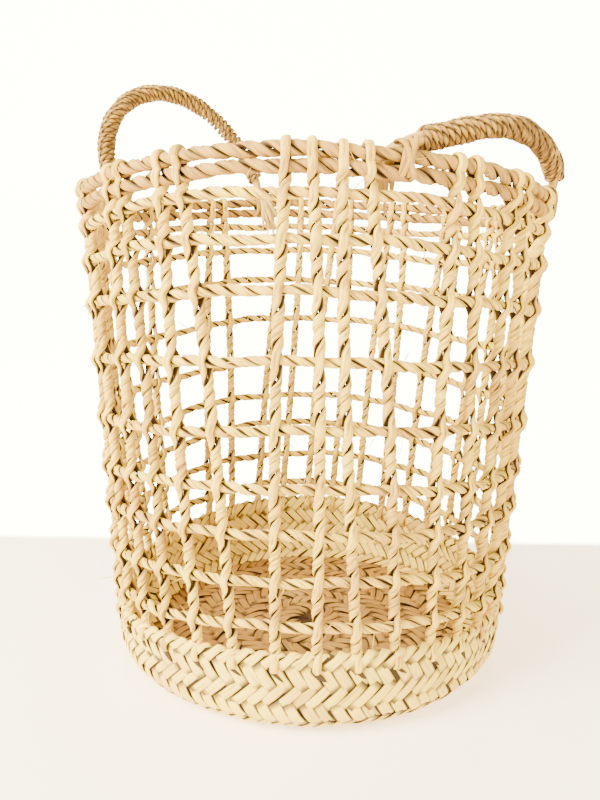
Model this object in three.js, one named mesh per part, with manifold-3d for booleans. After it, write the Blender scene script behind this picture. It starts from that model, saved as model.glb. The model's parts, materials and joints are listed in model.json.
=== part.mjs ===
// A round open-net storage basket in twisted seagrass cord: a plaited base and lower band,
// upright two-strand stakes that grip every horizontal rope, a double rim and two wrapped handles.
// Millimetres, +Z up. The origin is the middle of the underside, and the handles are centred on
// +X (the low, flattened one) and close to -X (the tall one).

import * as THREE from "three";
import { mergeVertices } from "three/addons/utils/BufferGeometryUtils.js";
import Module from "manifold-3d";

// Wall: the line through the rope centres, a straight cone from the floor to the rim.
const RIM_HEIGHT = 336;
const RIM_RADIUS = 156;
const FOOT_RADIUS = 139;
const SIDE_DIP = 15; // the soft wall sags this far on the two sides between the handles' diagonals
const DIP_AZIMUTH = 45; // degrees from +X

// Horizontal ropes.
const ROPE_RADIUS = 3.9;
const RIM_ROPE_GAP = 0.8; // between the two ropes of the rim
const ROW_SHARES = [0.06, 0.17, 0.285, 0.39, 0.52, 0.67, 0.81, 0.915, 1]; // band top 0, highest row 1

// Plaited base and band.
const FLOOR_THICKNESS = 5;
const FLOOR_RADIUS = 118;
const BAND_HEIGHT = 58;
const BAND_OUTER = 3.5; // band faces, measured outwards from the rope centres
const BAND_INNER = -2.5;
const EDGE_RISE = 20; // height of the rounded bottom edge

// Upright stakes, in pairs that close up at the rim.
const STAKE_COUNT = 36;
const FIRST_STAKE = 7; // degrees from +X
const STRAND_WIDTH = 6.5;
const STRAND_THICKNESS = 3.4;
const THREADING_DEPTH = 16; // a stake's bottom loop reaches this far below the band's top
const STAKE_LEVELS = [0, 0.35, 0.65, 0.86, 1]; // heights between foot and rim where a stake bends
const RIM_PAIR_GAP = 4.4; // degrees between the two stakes of a pair at the rim
// How far each pair leans round the basket by the time it reaches the rim, in degrees.
const PAIR_LEANS = [-10, -11, -6, -5, -6, -6, -7, -10, -3, 2, 9, -3, -3, -2, -6, 0, -10, -7];

// Handles: a bundle of leaf, wrapped in fine cord, each on the line between its two feet.
const FOOT_SPREAD = 29; // degrees from the handle's centre to each foot
const CORE_RADIUS = 4.2;
const WRAP_RADIUS = 6.6;
const WRAP_START = 15; // length of bare core at each foot
const HANDLE_STEPS = 20;
const HANDLES = [
  { name: "right_handle", azimuth: 0, rise: 25.4, lean: 31, skew: 0.25, powers: [3.2, 1.2] },
  { name: "left_handle", azimuth: 183, rise: 87, lean: 19, skew: 0.09, powers: [1.07, 0.8] },
];

// Ties that lash the handles' ends to the rim.
const TIE_WIDTH = 9;
const TIE_THICKNESS = 2.6;
const TASSEL_LENGTH = 24;
const TASSEL_DEPTH = 7;

// Clearances.
const ROPE_CLEARANCE = 0.8; // rope to the strands in front of it and behind it
const TOUCH_GAP = 0.3; // pieces that touch
const HANDLE_CLEARANCE = 0.5; // turning handle over the rim rope

// Colours.
const PALE_STRAW = 0xe6d3a0;
const TAN = 0xcdb384;
const GOLDEN = 0xb8925a;
const BAND_STRAW = 0xe9d8ab;
const FLOOR_BROWN = 0xc09a66;

// Heights that follow from the sizes above.
const STAKE_FOOT = BAND_HEIGHT - THREADING_DEPTH;
const RIM_ROPE_STEP = 2 * ROPE_RADIUS + RIM_ROPE_GAP;
const TIE_UNDERSIDE = RIM_HEIGHT - RIM_ROPE_STEP - ROPE_RADIUS - ROPE_CLEARANCE - TIE_THICKNESS;
const TOP_ROW = TIE_UNDERSIDE - ROPE_CLEARANCE - ROPE_RADIUS;

const wasm = await Module();
wasm.setup();

const radians = THREE.MathUtils.degToRad;

// Radius of the line through the rope centres at height z.
function wallRadius(z) {
  return FOOT_RADIUS + ((RIM_RADIUS - FOOT_RADIUS) * z) / RIM_HEIGHT;
}

// How far the wall sags at an azimuth: nothing at the floor, all of it above the band.
function dip(angle, z) {
  const share = THREE.MathUtils.clamp(z / BAND_HEIGHT, 0, 1);
  return SIDE_DIP * Math.cos(angle - radians(DIP_AZIMUTH)) ** 2 * share;
}

// A point of the wall: azimuth in radians, height, and distance outwards from the rope centres.
function wallPoint(angle, z, outwards) {
  const radius = wallRadius(z) + outwards;
  const x = radius * Math.cos(angle);
  const y = radius * Math.sin(angle);
  return new THREE.Vector3(x, y, z - dip(angle, z));
}

function rowHeight(share) {
  return THREE.MathUtils.lerp(BAND_HEIGHT, TOP_ROW, share);
}

function material(colour, roughness) {
  return new THREE.MeshStandardMaterial({ color: colour, roughness, metalness: 0 });
}

function piece(name, geometry, colour, roughness = 0.8) {
  const mesh = new THREE.Mesh(geometry, material(colour, roughness));
  mesh.name = name;
  return mesh;
}

// Geometry to solid and back, for the few pieces that are cut or joined.
function toSolid(geometry) {
  const bare = geometry.clone();
  bare.deleteAttribute("normal");
  bare.deleteAttribute("uv");
  const merged = mergeVertices(bare, 1e-4);
  const vertProperties = new Float32Array(merged.attributes.position.array);
  const triVerts = new Uint32Array(merged.index.array);
  return new wasm.Manifold(new wasm.Mesh({ numProp: 3, vertProperties, triVerts }));
}

function toGeometry(solid) {
  const mesh = solid.getMesh();
  const geometry = new THREE.BufferGeometry();
  geometry.setAttribute("position", new THREE.BufferAttribute(mesh.vertProperties, 3));
  geometry.setIndex(new THREE.BufferAttribute(mesh.triVerts, 1));
  return geometry;
}

// Moves every vertex of a geometry to the point that the given function returns for it.
function reshape(geometry, place) {
  const position = geometry.attributes.position;
  for (let i = 0; i < position.count; i++) {
    const moved = place(position.getX(i), position.getY(i), position.getZ(i));
    position.setXYZ(i, moved.x, moved.y, moved.z);
  }
  geometry.computeVertexNormals();
  return geometry;
}

// A flat outline in (outwards, height), given a width round the wall at azimuthAt(height).
function alongWall(shape, width, azimuthAt) {
  const slab = new THREE.ExtrudeGeometry(shape, { depth: width, bevelEnabled: false });
  return reshape(slab, (outwards, z, across) => {
    const angle = azimuthAt(z) - (across - width / 2) / wallRadius(z);
    return wallPoint(angle, z, outwards);
  });
}

// One horizontal rope: a closed ring on the wall, following the sag.
function rope(z) {
  const segments = STAKE_COUNT;
  const ring = wallRadius(z) / Math.cos(Math.PI / segments / Math.SQRT2);
  const torus = new THREE.TorusGeometry(ring, ROPE_RADIUS, 6, segments);
  return reshape(torus, (x, y, height) => {
    const angle = Math.atan2(y, x);
    return new THREE.Vector3(x, y, z + height - dip(angle, z));
  });
}

// The plaited floor.
function floor() {
  const profile = [
    new THREE.Vector2(0, 0),
    new THREE.Vector2(FLOOR_RADIUS, 0),
    new THREE.Vector2(FLOOR_RADIUS, FLOOR_THICKNESS),
    new THREE.Vector2(0, FLOOR_THICKNESS),
  ];
  const disc = new THREE.LatheGeometry(profile, STAKE_COUNT);
  return disc.rotateX(Math.PI / 2);
}

// The lower band: from the floor's edge round the rounded bottom edge and up to the plait's top.
function band() {
  const start = FLOOR_RADIUS + TOUCH_GAP;
  const outerEdge = [];
  const innerEdge = [];
  for (let i = 0; i <= 4; i++) {
    const turn = (i / 4) * (Math.PI / 2);
    const rise = 1 - Math.cos(turn);
    const outerReach = wallRadius(EDGE_RISE) + BAND_OUTER - start;
    const innerReach = wallRadius(EDGE_RISE) + BAND_INNER - start;
    outerEdge.push(new THREE.Vector2(start + outerReach * Math.sin(turn), EDGE_RISE * rise));
    const innerRise = FLOOR_THICKNESS + (EDGE_RISE - FLOOR_THICKNESS) * rise;
    innerEdge.push(new THREE.Vector2(start + innerReach * Math.sin(turn), innerRise));
  }
  const outerTop = new THREE.Vector2(wallRadius(BAND_HEIGHT) + BAND_OUTER, BAND_HEIGHT);
  const innerTop = new THREE.Vector2(wallRadius(BAND_HEIGHT) + BAND_INNER, BAND_HEIGHT);
  const profile = [...outerEdge, outerTop, innerTop, ...innerEdge.reverse(), outerEdge[0]];
  const lathe = new THREE.LatheGeometry(profile, STAKE_COUNT).rotateX(Math.PI / 2);
  const shell = reshape(lathe, (x, y, z) => {
    return new THREE.Vector3(x, y, z - dip(Math.atan2(y, x), z));
  });
  let solid = toSolid(shell);
  for (let i = 0; i < STAKE_COUNT; i++) solid = solid.subtract(toSolid(threadingHole(i)));
  return toGeometry(solid);
}

// The opening in the band that one stake's bottom loop passes through.
function threadingHole(index) {
  const bottom = STAKE_FOOT - ROPE_CLEARANCE;
  const top = STAKE_FOOT + STRAND_THICKNESS + ROPE_CLEARANCE;
  const reach = ROPE_RADIUS + ROPE_CLEARANCE + STRAND_THICKNESS;
  const outline = outlineOf([[-reach, bottom], [reach, bottom], [reach, top], [-reach, top]]);
  return alongWall(outline, STRAND_WIDTH + 2 * ROPE_CLEARANCE, (z) => stakeAzimuth(index, z));
}

function outlineOf(points) {
  return new THREE.Shape(points.map(([x, y]) => new THREE.Vector2(x, y)));
}

// Azimuth of a stake at height z: neighbours close up in pairs and lean towards the rim.
function stakeAzimuth(index, z) {
  const climb = THREE.MathUtils.clamp((z - STAKE_FOOT) / (RIM_HEIGHT - STAKE_FOOT), 0, 1);
  const step = 360 / STAKE_COUNT;
  const pair = Math.floor(index / 2);
  const side = index % 2 === 0 ? -0.5 : 0.5;
  const middle = FIRST_STAKE + (2 * pair + 0.5) * step + PAIR_LEANS[pair % PAIR_LEANS.length] * climb;
  const spread = step + (RIM_PAIR_GAP - step) * climb ** 3;
  return radians(middle + side * spread);
}

// One stake: two strands, one in front of the ropes and one behind, joined over the rim and
// through the band. The real strands are twisted round each other between the ropes.
function stake(index) {
  const near = ROPE_RADIUS + ROPE_CLEARANCE;
  const far = near + STRAND_THICKNESS;
  const slotTop = RIM_HEIGHT + near;
  const slotFoot = STAKE_FOOT + STRAND_THICKNESS;
  const outerLevels = STAKE_LEVELS.map((t) => THREE.MathUtils.lerp(STAKE_FOOT, RIM_HEIGHT, t));
  const slotLevels = [slotFoot, ...outerLevels.slice(1)];
  const outer = [
    ...outerLevels.map((z) => [far, z]),
    [near, slotTop + STRAND_THICKNESS],
    [-near, slotTop + STRAND_THICKNESS],
    ...outerLevels.map((z) => [-far, z]).reverse(),
  ];
  const slot = [
    ...slotLevels.map((z) => [near, z]),
    [near - STRAND_THICKNESS / 2, slotTop],
    [STRAND_THICKNESS / 2 - near, slotTop],
    ...slotLevels.map((z) => [-near, z]).reverse(),
  ];
  const shape = outlineOf(outer);
  shape.holes.push(new THREE.Path(slot.map(([x, y]) => new THREE.Vector2(x, y))));
  return alongWall(shape, STRAND_WIDTH, (z) => stakeAzimuth(index, z));
}

// Centre of a handle's foot, resting over the upper rim rope.
function handleFoot(handle, side) {
  const angle = radians(handle.azimuth + side * FOOT_SPREAD);
  const foot = wallPoint(angle, RIM_HEIGHT, 0);
  foot.z += ROPE_RADIUS + HANDLE_CLEARANCE + CORE_RADIUS;
  return foot;
}

// The handle's line: an arch on the chord between its feet, leaning out from the upright. Its
// powers, one at each foot, set how slowly it rises there.
function handleCurve(handle) {
  const from = handleFoot(handle, -1);
  const to = handleFoot(handle, 1);
  const middle = from.clone().add(to).multiplyScalar(0.5);
  const along = to.clone().sub(middle);
  const outwards = new THREE.Vector3(middle.x, middle.y, 0).normalize();
  const lean = radians(handle.lean);
  const up = new THREE.Vector3(0, 0, Math.cos(lean)).addScaledVector(outwards, Math.sin(lean));
  const points = [];
  for (let i = 0; i <= HANDLE_STEPS; i++) {
    const share = i / HANDLE_STEPS;
    const turn = share * Math.PI;
    const travel = -Math.cos(turn) + handle.skew * Math.sin(turn);
    const power = THREE.MathUtils.lerp(...handle.powers, share);
    const height = handle.rise * Math.max(0, Math.sin(turn)) ** power;
    const point = middle.clone().addScaledVector(along, travel).addScaledVector(up, height);
    points.push(point);
  }
  return new THREE.CatmullRomCurve3(points);
}

function circle(radius, sides) {
  const points = [];
  for (let i = 0; i < sides; i++) {
    const turn = (i / sides) * 2 * Math.PI;
    points.push(new THREE.Vector2(radius * Math.cos(turn), radius * Math.sin(turn)));
  }
  return points;
}

// A round bar that follows a handle's line from foot to foot.
function handleBar(handle, radius) {
  const section = new THREE.Shape(circle(radius, 8));
  const options = { steps: HANDLE_STEPS, extrudePath: handleCurve(handle) };
  return toSolid(new THREE.ExtrudeGeometry(section, options));
}

// A ball on the centre of a handle's foot.
function footBall(handle, side, radius) {
  const centre = handleFoot(handle, side);
  const ball = new THREE.IcosahedronGeometry(radius, 1);
  return toSolid(ball.translate(centre.x, centre.y, centre.z));
}

// The bundle inside a handle, with a rounded end over each foot.
function handleCore(handle) {
  let solid = handleBar(handle, CORE_RADIUS);
  for (const side of [-1, 1]) solid = solid.add(footBall(handle, side, CORE_RADIUS));
  return toGeometry(solid);
}

// The cord wrapped round the bundle, as one sleeve that stops short of the feet.
function handleWrap(handle) {
  let solid = handleBar(handle, WRAP_RADIUS);
  solid = solid.subtract(handleBar(handle, CORE_RADIUS + TOUCH_GAP));
  for (const side of [-1, 1]) solid = solid.subtract(footBall(handle, side, WRAP_START));
  return toGeometry(solid);
}

// The lashing under a foot: a cradle round both rim ropes, and the tassel that hangs inside.
function tie(handle, side) {
  const near = ROPE_RADIUS + ROPE_CLEARANCE;
  const far = near + TIE_THICKNESS;
  const top = RIM_HEIGHT;
  const seat = TIE_UNDERSIDE + TIE_THICKNESS;
  const inner = -near - TASSEL_DEPTH;
  const outline = outlineOf([
    [far, top], [near, top], [near, seat], [-near, seat], [-near, top], [-far, top],
    [inner, seat], [inner, seat - TASSEL_LENGTH], [-near, seat - TASSEL_LENGTH],
    [-near, TIE_UNDERSIDE], [far, TIE_UNDERSIDE],
  ]);
  const angle = radians(handle.azimuth + side * FOOT_SPREAD);
  return alongWall(outline, TIE_WIDTH, () => angle);
}

const basket = new THREE.Group();
basket.add(piece("floor_plait", floor(), FLOOR_BROWN, 0.85));
basket.add(piece("lower_band", band(), BAND_STRAW, 0.7));

ROW_SHARES.forEach((share, i) => {
  basket.add(piece(`row_rope_${i + 1}`, rope(rowHeight(share)), PALE_STRAW));
});
basket.add(piece("rim_rope_lower", rope(RIM_HEIGHT - RIM_ROPE_STEP), TAN));
basket.add(piece("rim_rope_upper", rope(RIM_HEIGHT), TAN));

for (let i = 0; i < STAKE_COUNT; i++) {
  basket.add(piece(`stake_${String(i + 1).padStart(2, "0")}`, stake(i), PALE_STRAW));
}

for (const handle of HANDLES) {
  basket.add(piece(`${handle.name}_core`, handleCore(handle), TAN));
  basket.add(piece(`${handle.name}_wrap`, handleWrap(handle), GOLDEN));
  basket.add(piece(`${handle.name}_tie_1`, tie(handle, -1), PALE_STRAW));
  basket.add(piece(`${handle.name}_tie_2`, tie(handle, 1), PALE_STRAW));
}

export default basket;
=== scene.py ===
import json
import math

import bpy
import numpy as np
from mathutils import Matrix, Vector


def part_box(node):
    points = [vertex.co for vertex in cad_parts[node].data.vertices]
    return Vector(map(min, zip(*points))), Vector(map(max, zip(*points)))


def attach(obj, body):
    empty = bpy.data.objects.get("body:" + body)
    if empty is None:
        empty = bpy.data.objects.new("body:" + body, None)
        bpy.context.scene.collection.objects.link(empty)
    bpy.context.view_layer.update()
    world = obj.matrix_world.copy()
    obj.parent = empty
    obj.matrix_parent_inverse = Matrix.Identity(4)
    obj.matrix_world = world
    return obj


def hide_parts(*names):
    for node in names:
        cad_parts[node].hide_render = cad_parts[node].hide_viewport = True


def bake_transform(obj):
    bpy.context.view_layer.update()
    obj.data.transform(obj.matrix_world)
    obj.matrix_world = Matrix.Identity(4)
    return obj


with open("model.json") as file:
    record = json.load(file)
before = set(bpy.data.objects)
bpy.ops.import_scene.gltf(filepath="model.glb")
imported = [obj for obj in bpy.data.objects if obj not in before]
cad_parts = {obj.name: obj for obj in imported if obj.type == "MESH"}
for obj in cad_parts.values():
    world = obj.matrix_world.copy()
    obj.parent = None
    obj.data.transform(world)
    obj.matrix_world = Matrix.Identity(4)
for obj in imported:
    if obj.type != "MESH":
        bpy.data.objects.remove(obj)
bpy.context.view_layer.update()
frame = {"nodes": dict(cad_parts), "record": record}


# ---- Camera, floor and light ------------------------------------------------
# The basket stands on a glossy white table in front of a white wall, in soft daylight
# that comes from in front and above.

camera_data = bpy.data.cameras.new("camera")
camera_data.lens = 31.5
camera_data.sensor_width = 36.0
camera_data.shift_x = -0.018
camera = bpy.data.objects.new("camera", camera_data)
bpy.context.scene.collection.objects.link(camera)
bpy.context.scene.camera = camera
view_azimuth = math.radians(45)
view_pitch = math.radians(10.9)
view_distance = 0.515
table_edge = 0.165
camera.location = (
    view_distance * math.sin(view_azimuth),
    -view_distance * math.cos(view_azimuth),
    0.280,
)
camera.rotation_mode = "XYZ"
camera.rotation_euler = (math.pi / 2 - view_pitch, math.radians(-0.87), view_azimuth)


def stage_material():
    """A glossy white table in front of a white wall. The wall starts a little way behind the
    basket and shines to the camera alone, so that it stays white without lighting anything."""
    material = bpy.data.materials.new("white_table")
    material.use_nodes = True
    nodes, link = material.node_tree.nodes, material.node_tree.links.new
    shader = nodes["Principled BSDF"]
    shader.inputs["Base Color"].default_value = (0.90, 0.86, 0.80, 1)
    shader.inputs["Roughness"].default_value = 0.22
    place = nodes.new("ShaderNodeTexCoord")
    turn = nodes.new("ShaderNodeVectorMath")
    turn.operation = "DOT_PRODUCT"
    turn.inputs[1].default_value = (-math.sin(view_azimuth), math.cos(view_azimuth), 0)
    link(place.outputs["Object"], turn.inputs[0])
    wall = nodes.new("ShaderNodeMapRange")
    wall.inputs["From Min"].default_value = table_edge
    wall.inputs["From Max"].default_value = table_edge + 0.012
    link(turn.outputs["Value"], wall.inputs["Value"])
    seen = nodes.new("ShaderNodeLightPath")
    glow = nodes.new("ShaderNodeMath")
    glow.operation = "MULTIPLY"
    link(wall.outputs[0], glow.inputs[0])
    link(seen.outputs["Is Camera Ray"], glow.inputs[1])
    level = nodes.new("ShaderNodeMix")
    level.data_type = "RGBA"
    level.inputs["A"].default_value = (0.14, 0.11, 0.07, 1)
    level.inputs["B"].default_value = (0.98, 1.0, 0.72, 1)
    link(glow.outputs[0], level.inputs["Factor"])
    link(level.outputs["Result"], shader.inputs["Emission Color"])
    shader.inputs["Emission Strength"].default_value = 13.0
    return material


def backdrop():
    """A floor that turns up into a wall: a flat run, a quarter circle, then an upright."""
    across = np.linspace(-4, 4, 3)
    turn = np.linspace(0, math.pi / 2, 13)
    reach = np.concatenate([[-4.0], 1.2 + 0.6 * np.sin(turn), [1.8]])
    height = np.concatenate([[0.0], 0.6 * (1 - np.cos(turn)), [4.0]])
    view = np.array([-math.sin(view_azimuth), math.cos(view_azimuth)])
    side = np.array([view[1], -view[0]])
    x = across[:, None] * side[0] + reach[None, :] * view[0]
    y = across[:, None] * side[1] + reach[None, :] * view[1]
    z = np.broadcast_to(height, x.shape)
    points = np.stack([x, y, z], -1).reshape(-1, 3)
    columns = len(reach)
    faces = []
    for i in range(len(across) - 1):
        for j in range(columns - 1):
            a = i * columns + j
            faces.append((a, a + columns, a + columns + 1, a + 1))
    mesh = bpy.data.meshes.new("backdrop")
    mesh.from_pydata(points.tolist(), [], faces)
    mesh.polygons.foreach_set("use_smooth", [True] * len(faces))
    mesh.materials.append(stage_material())
    obj = bpy.data.objects.new("backdrop", mesh)
    bpy.context.scene.collection.objects.link(obj)
    return obj


backdrop()

world = bpy.data.worlds.new("daylight")
world.use_nodes = True
world.node_tree.nodes["Background"].inputs["Color"].default_value = (1.0, 0.93, 0.66, 1)
world.node_tree.nodes["Background"].inputs["Strength"].default_value = 1.15
bpy.context.scene.world = world


def soft_light(name, place, size, power, colour):
    """A square area light at place, aimed at the middle of the basket."""
    data = bpy.data.lights.new(name, "AREA")
    data.size = size
    data.energy = power
    data.color = colour
    light = bpy.data.objects.new(name, data)
    light.location = place
    aim = np.array([0, 0, 0.18]) - np.array(place)
    yaw = math.atan2(aim[1], aim[0]) - math.pi / 2
    tilt = math.atan2(aim[2], math.hypot(aim[0], aim[1]))
    light.rotation_euler = (math.pi / 2 + tilt, 0, yaw)
    bpy.context.scene.collection.objects.link(light)


soft_light("front_window", (-0.25, -1.45, 1.05), 0.8, 175, (1.0, 0.94, 0.70))
soft_light("side_fill", (1.3, -0.3, 0.9), 0.8, 30, (1.0, 0.93, 0.70))


# ---- Floor of the basket ----------------------------------------------------
# One long herringbone plait of flat leaf strips, coiled flat from the middle and sewn edge
# to edge. Each course of floats slants the other way from the course beside it.

rope_radius = 0.0039
rim_box = [np.array(corner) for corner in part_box("rim_rope_upper")]
side_dip = (rim_box[1][2] - rim_box[0][2]) - math.sqrt(3) * rope_radius
dip_azimuth = math.radians(45)


def ring_of(node):
    """(radius, height) of a rope's centre before the wall sags, from its CAD box."""
    low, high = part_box(node)
    return (high[0] - low[0]) / 2 - rope_radius, high[2] - math.sqrt(3) / 2 * rope_radius


rim_radius, rim_height = ring_of("rim_rope_upper")
first_radius, first_height = ring_of("row_rope_1")
band_top = 0.058
plait_pitch = 0.0094
plait_thickness = 0.0006


def wall_radius(height):
    """The straight cone through the rope centres."""
    slope = (rim_radius - first_radius) / (rim_height - first_height)
    return rim_radius + (height - rim_height) * slope


def on_wall(angle, height, outwards):
    """Point at an azimuth and height, some way out from the rope centres, sagging by
    cos squared of the azimuth from the sag's direction, from nothing at the floor."""
    radius = wall_radius(height) + outwards
    sag = side_dip * np.cos(angle - dip_azimuth) ** 2 * np.clip(height / band_top, 0, 1)
    return np.stack([radius * np.cos(angle), radius * np.sin(angle), height - sag], -1)


def make_piece(name, points, quads, material, uv=None, shade=None, painted_shade=None, ngons=()):
    """A mesh object at the origin from arrays: points (n, 3), quads (m, 4), and for every
    quad corner a UV, for every point a shade and a depth of painted shade, both from 0 to 1."""
    mesh = bpy.data.meshes.new(name)
    mesh.vertices.add(len(points))
    mesh.vertices.foreach_set("co", np.asarray(points, np.float32).ravel())
    corners = [np.asarray(quads, np.int32).ravel()]
    totals = [np.full(len(quads), 4, np.int32)]
    for ngon in ngons:
        corners.append(np.asarray(ngon, np.int32))
        totals.append(np.array([len(ngon)], np.int32))
    corners = np.concatenate(corners)
    totals = np.concatenate(totals)
    mesh.loops.add(len(corners))
    mesh.loops.foreach_set("vertex_index", corners)
    mesh.polygons.add(len(totals))
    starts = np.concatenate([[0], np.cumsum(totals)[:-1]]).astype(np.int32)
    mesh.polygons.foreach_set("loop_start", starts)
    mesh.polygons.foreach_set("use_smooth", np.ones(len(totals), bool))
    mesh.update(calc_edges=True)
    if uv is not None:
        flat = np.zeros((len(corners), 2), np.float32)
        flat[: len(quads) * 4] = np.asarray(uv, np.float32).reshape(-1, 2)
        mesh.uv_layers.new(name="along").data.foreach_set("uv", flat.ravel())
    # The second attribute is the painted shade mask: 1 where the colour is painted fully dark as shade.
    for attribute, values in (("shade", shade), ("painted_shade", painted_shade)):
        if values is not None:
            layer = mesh.attributes.new(attribute, "FLOAT", "POINT")
            layer.data.foreach_set("value", np.asarray(values, np.float32))
    mesh.validate()
    mesh.materials.append(material)
    obj = bpy.data.objects.new(name, mesh)
    bpy.context.scene.collection.objects.link(obj)
    return obj


def leaf_group():
    """Dry leaf, shared by every cord and strip: fine fibre lines along the strand, blotches
    of a second colour, a shade for each strand, darker where the fibre lines run deep, and
    a painted shade from a per-point mask, darkest in the gaps where one strand tucks under the next."""
    group = bpy.data.node_groups.new("dry_leaf", "ShaderNodeTree")
    face = group.interface
    for name, kind, value in (
        ("Pale", "NodeSocketColor", (0.8, 0.7, 0.5, 1)),
        ("Deep", "NodeSocketColor", (0.5, 0.36, 0.18, 1)),
        ("Blotch", "NodeSocketColor", (0.6, 0.5, 0.3, 1)),
        # The dark colour painted as shade in gaps, creases and under the plait.
        ("Painted Shade", "NodeSocketColor", (0.05, 0.025, 0.006, 1)),
        ("Blotch Amount", "NodeSocketFloat", 0.35),
        ("Lines Across", "NodeSocketFloat", 9.0),
        ("Lines Along", "NodeSocketFloat", 60.0),
        ("Contrast", "NodeSocketFloat", 0.5),
    ):
        socket = face.new_socket(name=name, in_out="INPUT", socket_type=kind)
        socket.default_value = value
    face.new_socket(name="Color", in_out="OUTPUT", socket_type="NodeSocketColor")
    for name in ("Roughness", "Height"):
        face.new_socket(name=name, in_out="OUTPUT", socket_type="NodeSocketFloat")
    nodes, link = group.nodes, group.links.new
    given = nodes.new("NodeGroupInput")
    result = nodes.new("NodeGroupOutput")

    uv = nodes.new("ShaderNodeUVMap")
    uv.uv_map = "along"
    split = nodes.new("ShaderNodeSeparateXYZ")
    link(uv.outputs["UV"], split.inputs[0])
    stretched = nodes.new("ShaderNodeCombineXYZ")
    for axis, amount in (("X", "Lines Along"), ("Y", "Lines Across")):
        scale = nodes.new("ShaderNodeMath")
        scale.operation = "MULTIPLY"
        link(split.outputs[axis], scale.inputs[0])
        link(given.outputs[amount], scale.inputs[1])
        link(scale.outputs[0], stretched.inputs[axis])
    shade = nodes.new("ShaderNodeAttribute")
    shade.attribute_name = "shade"
    shift = nodes.new("ShaderNodeMath")
    shift.operation = "MULTIPLY"
    shift.inputs[1].default_value = 37.0
    link(shade.outputs["Fac"], shift.inputs[0])
    link(shift.outputs[0], stretched.inputs["Z"])

    lines = nodes.new("ShaderNodeTexNoise")
    lines.inputs["Scale"].default_value = 1.0
    lines.inputs["Detail"].default_value = 3.0
    lines.inputs["Roughness"].default_value = 0.6
    link(stretched.outputs[0], lines.inputs["Vector"])

    place = nodes.new("ShaderNodeTexCoord")
    patches = nodes.new("ShaderNodeTexNoise")
    patches.inputs["Scale"].default_value = 27.0
    patches.inputs["Detail"].default_value = 3.0
    link(place.outputs["Object"], patches.inputs["Vector"])

    def spread(source, low, high):
        node = nodes.new("ShaderNodeMapRange")
        node.inputs["From Min"].default_value = low
        node.inputs["From Max"].default_value = high
        link(source, node.inputs["Value"])
        return node.outputs[0]

    def blend(factor, first, second, mode="MIX"):
        node = nodes.new("ShaderNodeMix")
        node.data_type = "RGBA"
        node.blend_type = mode
        link(factor, node.inputs["Factor"])
        link(first, node.inputs["A"])
        link(second, node.inputs["B"])
        return node.outputs["Result"]

    def product(first, second):
        node = nodes.new("ShaderNodeMath")
        node.operation = "MULTIPLY"
        link(first, node.inputs[0])
        if isinstance(second, float):
            node.inputs[1].default_value = second
        else:
            link(second, node.inputs[1])
        return node.outputs[0]

    # Painted shade: the per-point mask mixes in the dark shade colour over everything else.
    painted_shade = nodes.new("ShaderNodeAttribute")
    painted_shade.attribute_name = "painted_shade"
    grooves = spread(lines.outputs["Fac"], 0.48, 0.36)
    blotch = product(spread(patches.outputs["Fac"], 0.46, 0.66), given.outputs["Blotch Amount"])
    strand = product(spread(shade.outputs["Fac"], 0.35, 1.0), given.outputs["Contrast"])
    colour = blend(blotch, given.outputs["Pale"], given.outputs["Blotch"])
    colour = blend(strand, colour, given.outputs["Deep"])
    colour = blend(product(grooves, given.outputs["Contrast"]), colour, given.outputs["Deep"])
    colour = blend(painted_shade.outputs["Fac"], colour, given.outputs["Painted Shade"])
    link(colour, result.inputs["Color"])
    rough = nodes.new("ShaderNodeMapRange")
    rough.inputs["To Min"].default_value = 0.52
    rough.inputs["To Max"].default_value = 0.8
    link(lines.outputs["Fac"], rough.inputs["Value"])
    link(rough.outputs[0], result.inputs["Roughness"])
    link(lines.outputs["Fac"], result.inputs["Height"])
    return group


dry_leaf = leaf_group()


def leaf_material(name, pale, deep, blotch, blotch_amount, across, along, contrast):
    """One finish of dry leaf: the shared effect with this finish's own colours and scale."""
    material = bpy.data.materials.new(name)
    material.use_nodes = True
    nodes, link = material.node_tree.nodes, material.node_tree.links.new
    shader = nodes["Principled BSDF"]
    leaf = nodes.new("ShaderNodeGroup")
    leaf.node_tree = dry_leaf
    leaf.inputs["Pale"].default_value = (*pale, 1)
    leaf.inputs["Deep"].default_value = (*deep, 1)
    leaf.inputs["Blotch"].default_value = (*blotch, 1)
    leaf.inputs["Blotch Amount"].default_value = blotch_amount
    leaf.inputs["Lines Across"].default_value = across
    leaf.inputs["Lines Along"].default_value = along
    leaf.inputs["Contrast"].default_value = contrast
    relief = nodes.new("ShaderNodeBump")
    relief.inputs["Strength"].default_value = 0.7
    relief.inputs["Distance"].default_value = 0.0004
    link(leaf.outputs["Height"], relief.inputs["Height"])
    link(relief.outputs["Normal"], shader.inputs["Normal"])
    link(leaf.outputs["Color"], shader.inputs["Base Color"])
    link(leaf.outputs["Roughness"], shader.inputs["Roughness"])
    shader.inputs["Specular IOR Level"].default_value = 0.22
    return material


chance = np.random.default_rng(11)


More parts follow.
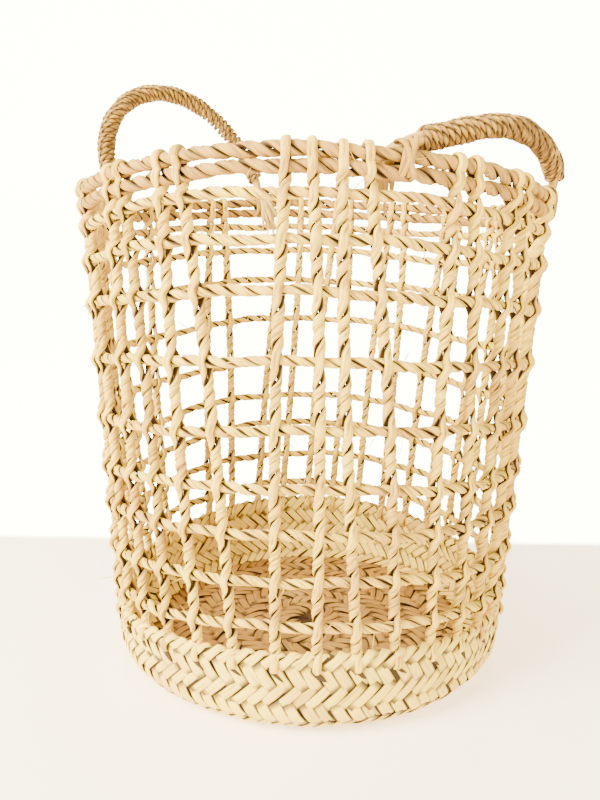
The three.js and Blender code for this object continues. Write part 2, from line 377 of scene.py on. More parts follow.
def plait_course(place, count, middle, step, slant, phase, along_turn, steep=1.0):
    """One course of floats. Each float is a thin closed slab on an 8 x 5 grid: s runs along it
    and past both ends, t runs across. Its centre line climbs by steep for each step sideways, its
    ends are cut along the other diagonal, and it sinks under its neighbours past the ends.
    place(turns, distance, proud) puts it on the plait; along_turn is the length of one turn."""
    s = np.array([-0.16, -0.02, 0.12, 0.45, 0.7, 0.88, 1.02, 1.16])
    t = np.array([0.0, 0.12, 0.5, 0.88, 1.0])
    s, t = np.meshgrid(s, t, indexing="ij")
    pitch = along_turn / count
    cut = pitch / 2
    climb = (s - 0.5) * step - slant * (t - 0.5) * cut
    wide = 0.94 * pitch
    across = slant * climb / steep + (t - 0.5) * wide
    ends = np.clip(1.25 - 2.3 * np.abs(s - 0.5), 0, 1)
    proud = 0.0009 * ends + 0.0003 * (1 - (2 * t - 1) ** 2) - 0.0005
    index = np.arange(count)[:, None, None]
    swing = 0.08 * pitch * chance.standard_normal((count, 1, 1))
    rise = 0.0003 * chance.standard_normal((count, 1, 1))
    turns = (index + phase) / count + (across + swing) / along_turn
    distance = middle + climb[None] + 0.03 * step * chance.standard_normal((count, 1, 1))
    top = place(turns, distance, proud[None] + plait_thickness + rise)
    bottom = place(turns, distance, proud[None] + rise)
    return top, bottom


def slab_faces(rows, columns):
    """Quads of a closed slab: a grid of points, the same grid beneath it, and the edge."""
    i, j = np.meshgrid(np.arange(rows - 1), np.arange(columns - 1), indexing="ij")
    a = (i * columns + j).ravel()
    cell = np.stack([a, a + 1, a + columns + 1, a + columns], -1)
    under = rows * columns
    rim = [*range(columns), *range(2 * columns - 1, under, columns)]
    rim += [*range(under - 2, under - columns - 1, -1), *range(under - 2 * columns, 0, -columns)]
    rim = np.array(rim)
    following = np.roll(rim, -1)
    side = np.stack([rim, rim + under, following + under, following], -1)
    return np.concatenate([cell, cell[:, ::-1] + under, side])


def plait_piece(name, courses, backing, material):
    """Joins courses of floats and a closed backing ring into one piece. A course is marked
    turned when its along and across directions are left-handed on their surface. Each float
    is painted with shade at its side edges, at its ends where it sinks under its neighbours
    and all over its underside, and the backing ring is painted wholly dark as the shade seen
    between the floats."""
    points, quads, uv, shades, painted_shades = [], [], [], [], []
    offset = 0
    rows, columns = 8, 5
    under = rows * columns
    slab = slab_faces(rows, columns)
    length = np.repeat([0.0, 0.002, 0.004, 0.008, 0.012, 0.0145, 0.0165, 0.0185], columns)
    width = np.tile([0.0, 0.12, 0.5, 0.88, 1.0], rows)
    # Painted shade on each float: darker at its side edges and ends, and full on its underside.
    edge = np.zeros((rows, columns))
    edge[:, [0, -1]] = 0.75
    edge[[0, 1, -2, -1]] = [[1], [0.7], [0.7], [1]]
    edge = np.concatenate([edge.ravel(), np.ones(rows * columns)])
    cell_uv = np.stack([np.tile(length, 2), np.tile(width, 2)], -1)[slab]
    for top, bottom, turned in courses:
        count = len(top)
        block = np.concatenate([top.reshape(count, -1, 3), bottom.reshape(count, -1, 3)], 1)
        faces = slab[:, ::-1] if turned else slab
        face_uv = cell_uv[:, ::-1] if turned else cell_uv
        starts = offset + np.arange(count) * 2 * under
        points.append(block.reshape(-1, 3))
        quads.append((faces[None] + starts[:, None, None]).reshape(-1, 4))
        shift = chance.uniform(0, 3, (count, 1, 1, 1)) * np.array([1, 0])
        uv.append((face_uv[None] + shift).reshape(-1, 4, 2))
        shades.append(np.repeat(chance.beta(1.3, 2.6, count), 2 * under))
        painted_shades.append(np.tile(edge, count))
        offset += count * 2 * under
    back_points, back_quads = backing
    points.append(back_points)
    quads.append(back_quads + offset)
    uv.append(np.zeros((len(back_quads), 4, 2)))
    # The backing is painted fully dark, as the shade seen between floats.
    shades.append(np.full(len(back_points), 1.0))
    painted_shades.append(np.full(len(back_points), 1.0))
    return make_piece(
        name, np.concatenate(points), np.concatenate(quads), material,
        np.concatenate(uv), np.concatenate(shades), np.concatenate(painted_shades),
    )


def turned_ring(place_profile, segments=144):
    """A closed profile of (radius, height) points carried round the axis, as quads."""
    profile = np.asarray(place_profile)
    angle = np.linspace(0, 2 * math.pi, segments, endpoint=False)
    radius, height = profile[:, 0], profile[:, 1]
    x = radius[None] * np.cos(angle)[:, None]
    y = radius[None] * np.sin(angle)[:, None]
    z = np.broadcast_to(height[None], x.shape)
    sag = side_dip * np.cos(angle[:, None] - dip_azimuth) ** 2 * np.clip(z / band_top, 0, 1)
    points = np.stack([x, y, z - sag], -1).reshape(-1, 3)
    count = len(profile)
    i, j = np.meshgrid(np.arange(segments), np.arange(count), indexing="ij")
    after_i, after_j = (i + 1) % segments, (j + 1) % count
    corners = (i * count + j, after_i * count + j, after_i * count + after_j, i * count + after_j)
    return points, np.stack(corners, -1).reshape(-1, 4)


floor_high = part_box("floor_plait")[1]
floor_radius = floor_high[0]
floor_top = floor_high[2]
floor_material = leaf_material(
    "floor_leaf", (0.38, 0.195, 0.034), (0.10, 0.045, 0.010), (0.52, 0.31, 0.07),
    blotch_amount=0.6, across=5, along=50, contrast=0.6,
)
course_step = 0.0135


def floor_courses():
    """Concentric courses, on the top face and again on the underside, with as many floats as
    fit round each."""
    made = []
    middles = np.arange(floor_radius - course_step / 2 + 0.001, 0.012, -course_step)
    for number, middle in enumerate(middles):
        around = 2 * math.pi * middle
        count = max(8, round(around / plait_pitch))
        slant = 1 if number % 2 else -1

        def upper(turns, distance, proud):
            angle = 2 * math.pi * turns
            height = np.broadcast_to(floor_top - 0.0011 + proud, np.broadcast(angle, distance).shape)
            return np.stack([distance * np.cos(angle), distance * np.sin(angle), height], -1)

        def lower(turns, distance, proud):
            angle = 2 * math.pi * turns
            height = np.broadcast_to(0.0012 - proud, np.broadcast(angle, distance).shape)
            return np.stack([distance * np.cos(angle), distance * np.sin(angle), height], -1)

        made.append((*plait_course(upper, count, middle, course_step, slant, number / 2, around), True))
        made.append((*plait_course(lower, count, middle, course_step, -slant, number / 2, around), False))
    return made


backing_low = 0.0010
backing_high = floor_top - 0.0012
backing_reach = (0.0005, floor_radius - 0.001)
floor_backing = turned_ring([
    (backing_reach[0], backing_low), (backing_reach[1], backing_low),
    (backing_reach[1], backing_high), (backing_reach[0], backing_high),
])
floor_piece = plait_piece("floor_of_plait", floor_courses(), floor_backing, floor_material)
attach(floor_piece, "basket")
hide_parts("floor_plait")


# ---- Lower band -------------------------------------------------------------
# The last turn of the plait, bent up round the rounded bottom edge and standing as a low
# wall. Its strips fold over at the top, and the stakes are threaded through under the fold.

edge_rise = 0.020
band_out = 0.0035
band_in = -0.0025
band_floats = 98
band_material = leaf_material(
    "band_leaf", (0.92, 0.66, 0.085), (0.30, 0.14, 0.024), (0.80, 0.50, 0.11),
    blotch_amount=0.7, across=5, along=50, contrast=0.5,
)


def band_profile():
    """Out of the floor's edge, a quarter ellipse up the rounded bottom edge, the outer face,
    a small half circle over the top, and down the inner face to the floor again."""
    start = floor_radius + 0.0003
    turn = np.linspace(0, math.pi / 2, 24)
    outer_reach = wall_radius(edge_rise) + band_out - start
    outer = np.stack([start + outer_reach * np.sin(turn), edge_rise * (1 - np.cos(turn))], -1)
    inner_reach = wall_radius(edge_rise) + band_in - start
    inner_rise = floor_top + (edge_rise - floor_top) * (1 - np.cos(turn))
    inner = np.stack([start + inner_reach * np.sin(turn), inner_rise], -1)
    half = (band_out - band_in) / 2
    middle = wall_radius(band_top) + (band_out + band_in) / 2
    over = np.linspace(0, math.pi, 9)
    fold = np.stack([middle + half * np.cos(over), band_top - half + half * np.sin(over)], -1)
    return np.concatenate([outer, fold, inner[::-1]])


profile = band_profile()
profile_run = np.concatenate([[0], np.cumsum(np.linalg.norm(np.diff(profile, axis=0), axis=1))])
profile_along = np.gradient(profile, profile_run, axis=0)
profile_along /= np.linalg.norm(profile_along, axis=1)[:, None]
profile_out = np.stack([profile_along[:, 1], -profile_along[:, 0]], -1)
fold_run = profile_run[24 + 4]
band_turn = 2 * math.pi * (wall_radius(0.03) + band_out)


def on_band(turns, distance, proud):
    """A point of the band: distance is measured up the profile from the floor's outer edge,
    proud out of the surface. The fold is scalloped."""
    angle = 2 * math.pi * turns
    distance, proud, angle = np.broadcast_arrays(distance, proud, angle)
    radius = np.interp(distance, profile_run, profile[:, 0])
    height = np.interp(distance, profile_run, profile[:, 1])
    out_r = np.interp(distance, profile_run, profile_out[:, 0])
    out_z = np.interp(distance, profile_run, profile_out[:, 1])
    near_fold = np.exp(-((distance - fold_run) / 0.006) ** 2)
    scallop = 0.0027 * np.abs(np.sin(band_floats / 2 * angle - 0.9)) - 0.0015
    radius = radius + out_r * (proud - 0.0011)
    height = height + out_z * (proud - 0.0011) + near_fold * scallop
    sag = side_dip * np.cos(angle - dip_azimuth) ** 2 * np.clip(height / band_top, 0, 1)
    return np.stack([radius * np.cos(angle), radius * np.sin(angle), height - sag], -1)


def band_courses():
    """Courses up the outside, one that folds over the top, and courses down the inside."""
    made = []
    below = fold_run + 0.0022
    count = round(below / course_step)
    step = below / count
    for number in range(count):
        slant = 1 if (count - number) % 2 else -1
        steep = 1.0 if slant > 0 else 1.7
        middle = (number + 0.5) * step
        floats = plait_course(on_band, band_floats, middle, step, slant, number / 2, band_turn, steep)
        made.append((*floats, False))
    inside = profile_run[-1] - fold_run - 0.002
    inner_count = round(inside / course_step)
    inner_step = inside / inner_count
    for number in range(inner_count):
        middle = fold_run + 0.002 + (number + 0.5) * inner_step
        slant = -1 if number % 2 else 1
        floats = plait_course(on_band, band_floats, middle, inner_step, slant, number / 2, band_turn)
        made.append((*floats, False))
    return made


def mesh_points(node):
    """The points of a CAD node, as rows of x, y and z."""
    vertices = frame["nodes"][node].data.vertices
    flat = np.empty(len(vertices) * 3, np.float32)
    vertices.foreach_get("co", flat)
    return flat.reshape(-1, 3)


def painted_slit_shade():
    """Painted shade in the eyes that the stakes' ends open in the plait: dark lenses, painted
    wholly in the shade colour, that slant down the band. Each is a thin slab on a 9 x 5 grid in
    (s, t), whose half width is a parabola of s."""
    feet = []
    for number in range(1, 37):
        points = mesh_points(f"stake_{number:02d}")
        foot = points[points[:, 2] < points[:, 2].min() + 0.004]
        feet.append(math.atan2(foot[:, 1].mean(), foot[:, 0].mean()))
    feet = np.array(feet)[:, None, None]
    s, t = np.meshgrid(np.linspace(-1, 1, 9), np.linspace(-1, 1, 5), indexing="ij")
    length = chance.uniform(0.0045, 0.0070, feet.shape)
    width = chance.uniform(0.0009, 0.0018, feet.shape)
    lean = chance.uniform(0.5, 1.1, feet.shape)
    along, aside = s * length, t * width * (1.03 - s**2)
    across = along * np.cos(lean) + aside * np.sin(lean)
    down = along * np.sin(lean) - aside * np.cos(lean)
    middle = fold_run - 0.0150
    turns = feet / (2 * math.pi) + (across + 0.001) / band_turn
    face = on_band(turns, middle - down, np.full(across.shape, 0.0019))
    back = on_band(turns, middle - down, np.full(across.shape, 0.0004))
    count = len(feet)
    points = np.concatenate([face.reshape(count, -1, 3), back.reshape(count, -1, 3)], 1)
    slab = slab_faces(9, 5)[:, ::-1]
    each = face[0].size // 3 + back[0].size // 3
    quads = (slab[None] + each * np.arange(count)[:, None, None]).reshape(-1, 4)
    total = count * each
    # Every point is painted as full shade.
    return make_piece(
        "painted_slit_shade", points.reshape(-1, 3), quads, band_material,
        np.zeros((len(quads), 4, 2)), np.ones(total), np.ones(total),
    )


slits = painted_slit_shade()
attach(slits, "basket")

inset = profile - profile_out * 0.0014
band_backing = turned_ring(inset)
band_piece = plait_piece("band_of_plait", band_courses(), band_backing, band_material)
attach(band_piece, "basket")
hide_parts("lower_band")


# ---- Horizontal ropes -------------------------------------------------------
# Two-ply rope, each ply a twisted bundle of leaf blades, closed into a ring. The two rim
# ropes are thicker and tanner than the nine below them.


def strand(
    name, paths, out, half_thick, half_wide, material, shades,
    closed=True, ridges=0.16, ply_sides=16, shade_tucked_side=True, shade_seam=0.14,
):
    """Strands swept along closed or open paths. paths (k, n, 3) are centre lines and out
    (k, n, 3) the direction of their thin side; the section is an ellipse whose radius swings
    as the size of a sine, so that sharp creases part rounded blades, and the creases drift
    round it along the length. Open ends close to a point. A tucked strand gets painted shade
    where the cosine of its angle from out is under the seam limit, the side that lies against its
    neighbours, and every ridged strand gets painted shade in its creases."""
    count, steps, _ = paths.shape
    if closed:
        run = np.roll(paths, -1, 1) - np.roll(paths, 1, 1)
    else:
        run = np.gradient(paths, axis=1)
    run /= np.linalg.norm(run, axis=2, keepdims=True) + 1e-12
    out = out - (out * run).sum(2, keepdims=True) * run
    out /= np.linalg.norm(out, axis=2, keepdims=True) + 1e-12
    wide = np.cross(run, out)
    theta = np.linspace(0, 2 * math.pi, ply_sides, endpoint=False)
    gaps = np.linalg.norm(np.diff(paths, axis=1), axis=2)
    length = np.concatenate([np.zeros((count, 1)), np.cumsum(gaps, 1)], 1)
    seed = chance.uniform(0, 6.28, (count, 1, 1))
    crease_turn = 55.0
    drift = length[..., None] * crease_turn
    whole = length[:, -1:, None]
    if closed:
        drift = 2 * math.pi * np.round(whole * crease_turn / 6.28) * length[..., None] / whole
    blades = np.abs(np.sin(2 * theta + drift + seed))
    crease = 1 + ridges * (2 * np.sqrt(blades) - 1.5) + 0.3 * ridges * np.sin(5 * theta - drift + 2 * seed)
    swell = 1 + 0.05 * np.sin(2 * drift + seed) + 0.04 * np.sin(5 * drift + 3 * seed)
    if not closed:
        ends = np.minimum(np.arange(steps), np.arange(steps)[::-1])[None, :, None]
        swell = swell * np.clip(0.12 + ends / 3.0, 0, 1)
    # Painted shade: on the side that lies against the neighbouring strands, and in the creases between
    # blades.
    painted_shade = np.clip((shade_seam - np.cos(theta)) / 0.36, 0, 1) if shade_tucked_side else np.zeros(ply_sides)
    painted_shade = np.maximum(painted_shade, min(1, ridges * 5) * np.clip(0.9 - blades / 0.28, 0, 0.8))
    painted_shade = np.broadcast_to(painted_shade, (count, steps, ply_sides))
    thick = np.broadcast_to(half_thick, (count, steps))[..., None] * swell * crease * np.cos(theta)
    broad = np.broadcast_to(half_wide, (count, steps))[..., None] * swell * crease * np.sin(theta)
    points = paths[:, :, None] + thick[..., None] * out[:, :, None] + broad[..., None] * wide[:, :, None]
    i_stop = steps if closed else steps - 1
    i, j = np.meshgrid(np.arange(i_stop), np.arange(ply_sides), indexing="ij")
    after_i, after_j = (i + 1) % steps, (j + 1) % ply_sides
    here, beyond = i * ply_sides, after_i * ply_sides
    cell = np.stack([here + j, here + after_j, beyond + after_j, beyond + j], -1).reshape(-1, 4)
    starts = np.arange(count) * steps * ply_sides
    quads = (cell[None] + starts[:, None, None]).reshape(-1, 4)
    far = np.concatenate([length, length[:, -1:] + gaps[:, -1:]], 1)
    low_u, high_u = far[:, i.ravel()], far[:, i.ravel() + 1]
    low_v = np.broadcast_to(j.ravel() / ply_sides, low_u.shape)
    high_v = low_v + 1 / ply_sides
    around = ((low_u, low_v), (low_u, high_v), (high_u, high_v), (high_u, low_v))
    uv = np.stack([np.stack(corner, -1) for corner in around], 2)
    ngons = []
    if not closed:
        for start in starts:
            ngons.append(start + np.arange(ply_sides)[::-1])
            ngons.append(start + (steps - 1) * ply_sides + np.arange(ply_sides))
    tone = np.repeat(np.asarray(shades, float), steps * ply_sides)
    return make_piece(
        name, points.reshape(-1, 3), quads, material, uv.reshape(-1, 4, 2), tone, painted_shade.ravel(), ngons,
    )


pale_cord = leaf_material(
    "pale_cord", (0.86, 0.58, 0.060), (0.22, 0.10, 0.016), (0.58, 0.31, 0.065),
    blotch_amount=0.8, across=7, along=70, contrast=0.5,
)
rim_cord = leaf_material(
    "rim_cord", (0.50, 0.27, 0.045), (0.17, 0.075, 0.014), (0.40, 0.26, 0.06),
    blotch_amount=0.45, across=7, along=70, contrast=0.55,
)
row_names = [f"row_rope_{number}" for number in range(1, 10)]
rope_names = row_names + ["rim_rope_lower", "rim_rope_upper"]
rope_heights = np.array([ring_of(name)[1] for name in rope_names])
wave_phase = chance.uniform(0, 2 * math.pi, (len(rope_names), 2))
wave_size = np.array([0.0010] * 9 + [0.0006, 0.0005])


def rope_height(number, angle):
    """A rope's height at an azimuth: level, with two slow waves and one of a stake's width."""
    wave = np.sin(3 * angle + wave_phase[number, 0]) + 0.7 * np.sin(7 * angle + wave_phase[number, 1])
    wave = wave + 0.5 * np.sin(19 * angle + 2 * wave_phase[number, 0])
    return rope_heights[number] + wave_size[number] * wave


def rope(number):
    """Two plies half a turn apart, wound round the rope's centre line in a helix."""
    angle = np.linspace(0, 2 * math.pi, 600, endpoint=False)
    height = rope_height(number, angle)
    rim = number >= 9
    pitch = 0.0245 if rim else 0.0235
    turns = round(2 * math.pi * wall_radius(rope_heights[number]) / pitch)
    middle = on_wall(angle, height, 0.0)
    out = np.stack([np.cos(angle), np.sin(angle), np.zeros_like(angle)], -1)
    up = np.array([0.0, 0.0, 1.0])
    seeds = chance.uniform(0, 6.28, 2)
    loose = 1 + 0.16 * np.sin(8 * angle + seeds[0]) + 0.12 * np.sin(21 * angle + seeds[1])
    paths, sides = [], []
    for ply in range(2):
        wind = ply * math.pi + seeds[0] - turns * angle + 0.5 * np.sin(5 * angle + seeds[1])
        wind = wind + 0.35 * np.sin(13 * angle + 2 * seeds[1])
        away = np.cos(wind)[:, None] * out + np.sin(wind)[:, None] * up
        paths.append(middle + (0.0020 if rim else 0.0015) * loose[:, None] * away)
        sides.append(away)
    half_thick, half_wide = (0.0020, 0.0028) if rim else (0.0016, 0.0023)
    material = rim_cord if rim else pale_cord
    shades = chance.beta(1.2, 3.0, 2)
    return strand(
        f"{rope_names[number]}_twist", np.array(paths), np.array(sides),
        half_thick, half_wide, material, shades,
    )


for number, name in enumerate(rope_names):
    piece = rope(number)
    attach(piece, "basket")
    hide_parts(name)


# ---- Stakes -----------------------------------------------------------------
# Each stake is one long strand doubled over the rim and twisted with itself down to the
# band, where it is threaded through. Every rope passes through the twist, between the plies.

threading = 0.0465
stake_half_turn = 0.0115


def stake_line(node):
    """Azimuth of a stake's middle as a cubic in height, fitted to its CAD solid."""
    points = mesh_points(node)
    angle = np.arctan2(points[:, 1], points[:, 0])
    centre = math.atan2(points[:, 1].mean(), points[:, 0].mean())
    turn = (angle - centre + math.pi) % (2 * math.pi) - math.pi
    return centre, np.polyfit(points[:, 2], turn, 4)


def stake(number):
    """The strand goes down as one ply of the twist, through the band in a half circle, up as
    the other ply, and over the rim in a half circle. At each rope the twist pauses with one
    ply in front and one behind, spread apart by the rope."""
    node = f"stake_{number:02d}"
    centre, curve = stake_line(node)

    def azimuth(height):
        return centre + np.polyval(curve, height)

    guess = azimuth(rope_heights)
    crossings = np.array([rope_height(k, guess[k]) for k in range(len(rope_heights))])
    crossings = np.concatenate([[threading + 0.004], crossings])
    spans = np.diff(crossings)
    halves = np.maximum(0, np.round(spans / stake_half_turn + chance.uniform(-0.2, 0.2, len(spans))))
    halves[-1] = 0
    halves[:-1] = np.maximum(1, halves[:-1])
    phases = np.concatenate([[0], np.cumsum(halves)]) * math.pi
    height = np.linspace(crossings[-1], crossings[0], 190)
    span = np.clip(np.searchsorted(crossings, height, "right") - 1, 0, len(spans) - 1)
    share = (height - crossings[span]) / spans[span]
    eased = share - 0.85 * np.sin(2 * math.pi * share) / (2 * math.pi)
    wind = phases[span] + halves[span] * math.pi * eased - phases[-1]
    near = np.abs(height[:, None] - crossings[None]).min(1)
    spread = 0.0016 + 0.0030 * np.exp(-((near / 0.0042) ** 2))
    angle = azimuth(height)
    out = np.stack([np.cos(angle), np.sin(angle), np.zeros_like(angle)], -1)
    along = np.stack([-np.sin(angle), np.cos(angle), np.zeros_like(angle)], -1)
    middle = on_wall(angle, height, 0.0)
    away = spread[:, None] * np.cos(wind)[:, None] * out + 0.0019 * np.sin(wind)[:, None] * along
    down = middle + away
    up = (middle - away)[::-1]
    bend = np.linspace(0, math.pi, 11)[1:-1]
    reach = spread[-1]
    ahead = np.cos(wind[-1])
    sideways, upwards = np.cos(bend)[:, None], np.sin(bend)[:, None] * np.array([0, 0, 1.0])
    low_arc = middle[-1] + reach * (ahead * sideways * out[-1] - upwards)
    over = spread[0]
    high_arc = middle[0] + over * (-sideways * out[0] + upwards)
    path = np.concatenate([down, low_arc, up, high_arc])
    unit = away / np.linalg.norm(away, axis=1, keepdims=True)
    sides = np.concatenate([unit, low_arc - middle[-1], -unit[::-1], high_arc - middle[0]])
    shade = chance.beta(1.1, 4.0, 1)
    piece = strand(f"{node}_twist", path[None], sides[None], 0.0016, 0.0024, pale_cord, shade)
    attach(piece, "basket")
    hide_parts(node)


for number in range(1, 37):
    stake(number)


# ---- Handles ----------------------------------------------------------------
# Each handle is a bundle of leaf wrapped from foot to foot in fine two-ply cord. The low one
# is pressed flat and slants up from its near foot, and the tall one is a round arch.

grip_radius = 0.0051
grip_pitch = 0.0044
grip_cord = leaf_material(
    "grip_cord", (0.54, 0.30, 0.055), (0.08, 0.035, 0.008), (0.22, 0.12, 0.026),
    blotch_amount=0.8, across=6, along=160, contrast=0.85,
)
bundle_leaf = leaf_material(
    "bundle_leaf", (0.66, 0.44, 0.11), (0.20, 0.10, 0.022), (0.46, 0.31, 0.08),
    blotch_amount=0.4, across=7, along=60, contrast=0.5,
)
handle_forms = {
    "right_handle": {"rise": 0.0254, "lean": 31, "skew": 0.25, "powers": (3.2, 1.2), "bare": (0.013, 0.0105)},
    "left_handle": {"rise": 0.087, "lean": 19, "skew": 0.09, "powers": (1.07, 0.8), "bare": (0.0115, 0.0125)},
}
hinges = {joint["child"]: joint for joint in frame["record"]["behaviour"]["joints"]}


def handle_feet(name):
    """Both feet of a handle: where its hinge's axis crosses the cylinder of the rim."""
    middle = np.array(hinges[name]["pos_m"])
    axis = np.array(hinges[name]["axis"])
    level = axis[:2] @ axis[:2]
    reach = math.sqrt((rim_radius**2 - middle[:2] @ middle[:2]) / level)
    return middle - reach * axis, middle + reach * axis


def handle_line(name, samples=1200):
    """The handle's centre line at even steps. Over t from 0 to pi it travels -cos t plus the
    skew times sin t along the half chord, and rises by sin t to a power that runs from one
    foot's value to the other's. Also its direction, and the two directions across it."""
    form = handle_forms[name]
    start, end = handle_feet(name)
    middle, half = (start + end) / 2, (end - start) / 2
    outwards = np.array([middle[0], middle[1], 0]) / math.hypot(middle[0], middle[1])
    lean = math.radians(form["lean"])
    rising = np.array([0, 0, math.cos(lean)]) + math.sin(lean) * outwards
    share = np.linspace(0, 1, 4000)
    t = share * math.pi
    power = form["powers"][0] + (form["powers"][1] - form["powers"][0]) * share
    climb = form["rise"] * np.clip(np.sin(t), 0, 1) ** power
    travel = -np.cos(t) + form["skew"] * np.sin(t)
    line = middle + travel[:, None] * half + climb[:, None] * rising
    run = np.concatenate([[0], np.cumsum(np.linalg.norm(np.diff(line, axis=0), axis=1))])
    even = np.linspace(0, run[-1], samples)
    line = np.stack([np.interp(even, run, line[:, k]) for k in range(3)], -1)
    ahead = np.gradient(line, axis=0)
    ahead /= np.linalg.norm(ahead, axis=1, keepdims=True)
    flat = np.cross(half, rising)
    flat /= np.linalg.norm(flat)
    across = np.cross(flat, ahead)
    across /= np.linalg.norm(across, axis=1, keepdims=True)
    return even, line, ahead, across, np.broadcast_to(flat, line.shape)


def on_line(table, run, distance):
    """Rows of a table, looked up at distances along the line."""
    return np.stack([np.interp(distance, run, table[:, k]) for k in range(3)], -1)


def grip(name):
    """The wrapping: a two-ply cord wound round the bundle in a tight helix, each turn a little
    uneven. The plies ride half a turn apart round the cord's own centre."""
    run, line, ahead, across, flat = handle_line(name)
    whole = run[-1]
    first_bare, last_bare = handle_forms[name]["bare"]
    span = whole - first_bare - last_bare
    turns = span / grip_pitch
    steps = int(turns * 30)
    wind = np.linspace(0, 2 * math.pi * turns, steps)
    distance = first_bare + span * wind / wind[-1]
    distance = distance + 0.00035 * np.sin(wind * 0.31) + 0.0003 * np.sin(wind * 0.117 + 2)
    radius = grip_radius + 0.00022 * np.sin(wind * 0.173) + 0.00022 * np.sin(wind * 2.07)
    a = on_line(across, run, distance)
    b = on_line(flat, run, distance)
    t = on_line(ahead, run, distance)
    away = np.cos(wind)[:, None] * a + np.sin(wind)[:, None] * b
    cord = on_line(line, run, distance) + radius[:, None] * away
    travelled = np.concatenate([[0], np.cumsum(np.linalg.norm(np.diff(cord, axis=0), axis=1))])
    twist = 2 * math.pi * travelled / 0.0098
    paths, sides = [], []
    for ply in range(2):
        lay = twist + ply * math.pi
        offset = np.cos(lay)[:, None] * away + np.sin(lay)[:, None] * t
        paths.append(cord + 0.00072 * offset)
        sides.append(offset)
    return strand(
        f"{name}_wrapping", np.array(paths), np.array(sides), 0.00112, 0.00140, grip_cord,
        [0.05, 0.6], closed=False, ridges=0.05, ply_sides=8, shade_seam=0.75,
    )


def bundle(name):
    """The leaf bundle: blades side by side in a loose twist along the handle's line, that
    leave it at each foot, bend over the rim on a cubic curve and hang inside in a frayed tail."""
    run, line, _, across, flat = handle_line(name)
    whole = run[-1]
    blades = 13
    body = np.linspace(0, whole, 60)
    paths, sides = [], []
    feet = handle_feet(name)
    for blade in range(blades):
        spin = 2 * math.pi * blade / (blades - 3) if blade > 2 else 2 * math.pi * blade / 3
        pinched = 0.5 + 0.5 * np.clip(np.minimum(body, whole - body) / 0.012, 0, 1)
        ring = (0.0029 if blade > 2 else 0.0010) * pinched[:, None]
        turn = spin + 9.0 * body
        a, b = on_line(across, run, body), on_line(flat, run, body)
        away = np.cos(turn)[:, None] * a + np.sin(turn)[:, None] * b
        sunk = 0.0034 * np.clip(1 - np.minimum(body, whole - body) / 0.016, 0, 1) ** 2
        middle = on_line(line, run, body) + ring * away
        middle[:, 2] -= sunk
        ends = []
        for end, foot in ((0, feet[0]), (-1, feet[1])):
            angle = math.atan2(foot[1], foot[0])
            beyond = -1 if end == 0 else 1
            side = beyond * chance.uniform(-0.001, 0.009) / rim_radius
            drop = chance.uniform(0.012, 0.034)
            inside = -0.0085 - chance.uniform(0, 0.0045)
            start = middle[end]
            pull = on_wall(angle + 0.5 * side, rim_height, -0.005) + [0, 0, 0.0045]
            over = on_wall(angle + side, rim_height, inside) + [0, 0, 0.002]
            splay = side + beyond * chance.uniform(-0.002, 0.006) / rim_radius
            tip = on_wall(angle + splay, rim_height - drop, inside - chance.uniform(-0.001, 0.004))
            t = np.linspace(0, 1, 19)[1:, None]
            early = (1 - t) ** 3 * start + 3 * (1 - t) ** 2 * t * pull
            ends.append(early + 3 * (1 - t) * t**2 * over + t**3 * tip)
        path = np.concatenate([ends[0][::-1], middle, ends[1]])
        outward = np.stack([path[:, 0], path[:, 1], np.zeros(len(path))], -1)
        outward /= np.linalg.norm(outward, axis=1, keepdims=True)
        side_way = np.concatenate([outward[:18], away, outward[-18:]])
        paths.append(path)
        sides.append(side_way)
    piece = strand(
        f"{name}_bundle", np.array(paths), np.array(sides), 0.0008, 0.0017, bundle_leaf,
        chance.beta(1.2, 2.5, blades), closed=False, ridges=0.12, ply_sides=8, shade_tucked_side=False,
    )
    middle = np.array(hinges[name]["pos_m"])
    axis = np.array(hinges[name]["axis"])
    up = np.array([0, 0, 1.0]) - axis[2] * axis
    up /= np.linalg.norm(up)
    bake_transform(piece)
    return piece


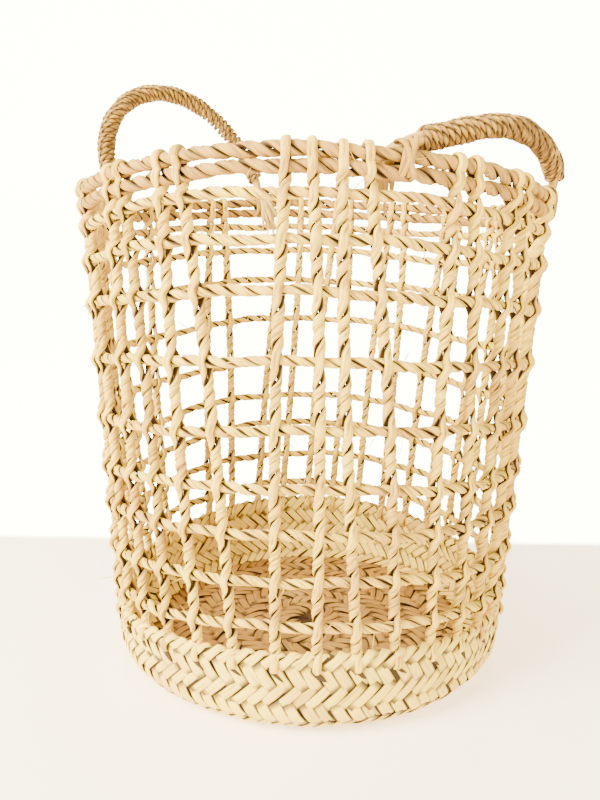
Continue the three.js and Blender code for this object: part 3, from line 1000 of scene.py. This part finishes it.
def lashing(name, foot, number):
    """One tie: four strips of leaf bound round the rim and the handle's foot, two side by side
    and two that cross over them. Each loop is a squared circle in the plane across the rim, and
    higher on the side that the handle lies on."""
    angle = math.atan2(foot[1], foot[0])
    t = np.linspace(0, 2 * math.pi, 64, endpoint=False)
    inwards = 1 if number == 1 else -1
    top = 0.0068
    bottom = -rope_radius - 0.0062
    half_high = (top - bottom) / 2
    centre = (top + bottom) / 2
    paths, sides = [], []
    for place, tilt in ((-0.0026, 0.0010), (0.0012, 0.0004), (0.0004, 0.0036), (-0.0004, -0.0038)):
        grow = 0.0009 if abs(tilt) > 0.001 else 0.0
        squared = np.sign(np.cos(t)) * np.abs(np.cos(t)) ** 0.55
        out = (0.0052 + grow) * squared + 0.0002 * np.sin(5 * t + place * 900)
        high = centre + (half_high + grow) * np.sign(np.sin(t)) * np.abs(np.sin(t)) ** 0.8
        lateral = place + tilt * np.sin(t) + 0.0003 * np.sin(3 * t)
        high += 0.33 * inwards * lateral * (high > 0)
        turn = angle + (lateral + 0.0022 * inwards) / rim_radius
        path = on_wall(turn, np.full_like(t, rim_height), out)
        path[:, 2] += high
        core = on_wall(turn, np.full_like(t, rim_height), np.zeros_like(t))
        core[:, 2] += centre
        away = path - core
        away /= np.linalg.norm(away, axis=1, keepdims=True)
        paths.append(path)
        sides.append(away)
    piece = strand(
        f"{name}_lashing_{number}", np.array(paths), np.array(sides), 0.0011, 0.0015, rim_cord,
        chance.beta(1.2, 3.0, len(paths)), ridges=0.12, ply_sides=12, shade_seam=0.1,
    )
    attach(piece, "basket")
    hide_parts(f"{name}_tie_{number}")


for name in handle_forms:
    wrapping = grip(name)
    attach(wrapping, name)
    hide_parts(f"{name}_wrap")
    inner = bundle(name)
    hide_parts(f"{name}_core")
    for number, foot in enumerate(handle_feet(name), 1):
        lashing(name, foot, number)


# ---- Stray fibres -----------------------------------------------------------
# Split ends of leaf that stand out from the cords, most of them short.


def stray_fibres(count):
    """Thin bent hairs. Each starts on a rope and leaves it along a slanted direction, and
    curves by the square of the distance run."""
    number = chance.integers(0, len(rope_names), count)
    angle = chance.uniform(0, 2 * math.pi, count)
    start = on_wall(angle, rope_heights[number], 0.0028 * np.where(chance.random(count) < 0.75, 1, -1))
    out = np.stack([np.cos(angle), np.sin(angle), np.zeros(count)], -1)
    along = np.stack([-np.sin(angle), np.cos(angle), np.zeros(count)], -1)
    up = np.array([0, 0, 1.0])
    swing = chance.uniform(-1, 1, (count, 2))
    first = 0.25 * out + swing[:, :1] * along + swing[:, 1:] * up * 0.9
    first /= np.linalg.norm(first, axis=1, keepdims=True)
    bend = chance.uniform(-0.5, 0.5, (count, 3)) + 0.15 * out
    length = 0.005 + 0.013 * chance.beta(1.2, 3.0, count)
    t = np.linspace(0, 1, 8)
    t = t[None, :, None]
    paths = start[:, None] + length[:, None, None] * (t * first[:, None] + t**2 * bend[:, None] * 0.6)
    sides = np.broadcast_to(np.cross(first, up)[:, None] + 0.01, paths.shape)
    return strand(
        "stray_fibres", paths, sides, 0.00018, 0.00030, pale_cord,
        chance.beta(1.2, 2.5, count), closed=False, ridges=0.0, ply_sides=5, shade_tucked_side=False,
    )


fibres = stray_fibres(420)
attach(fibres, "basket")
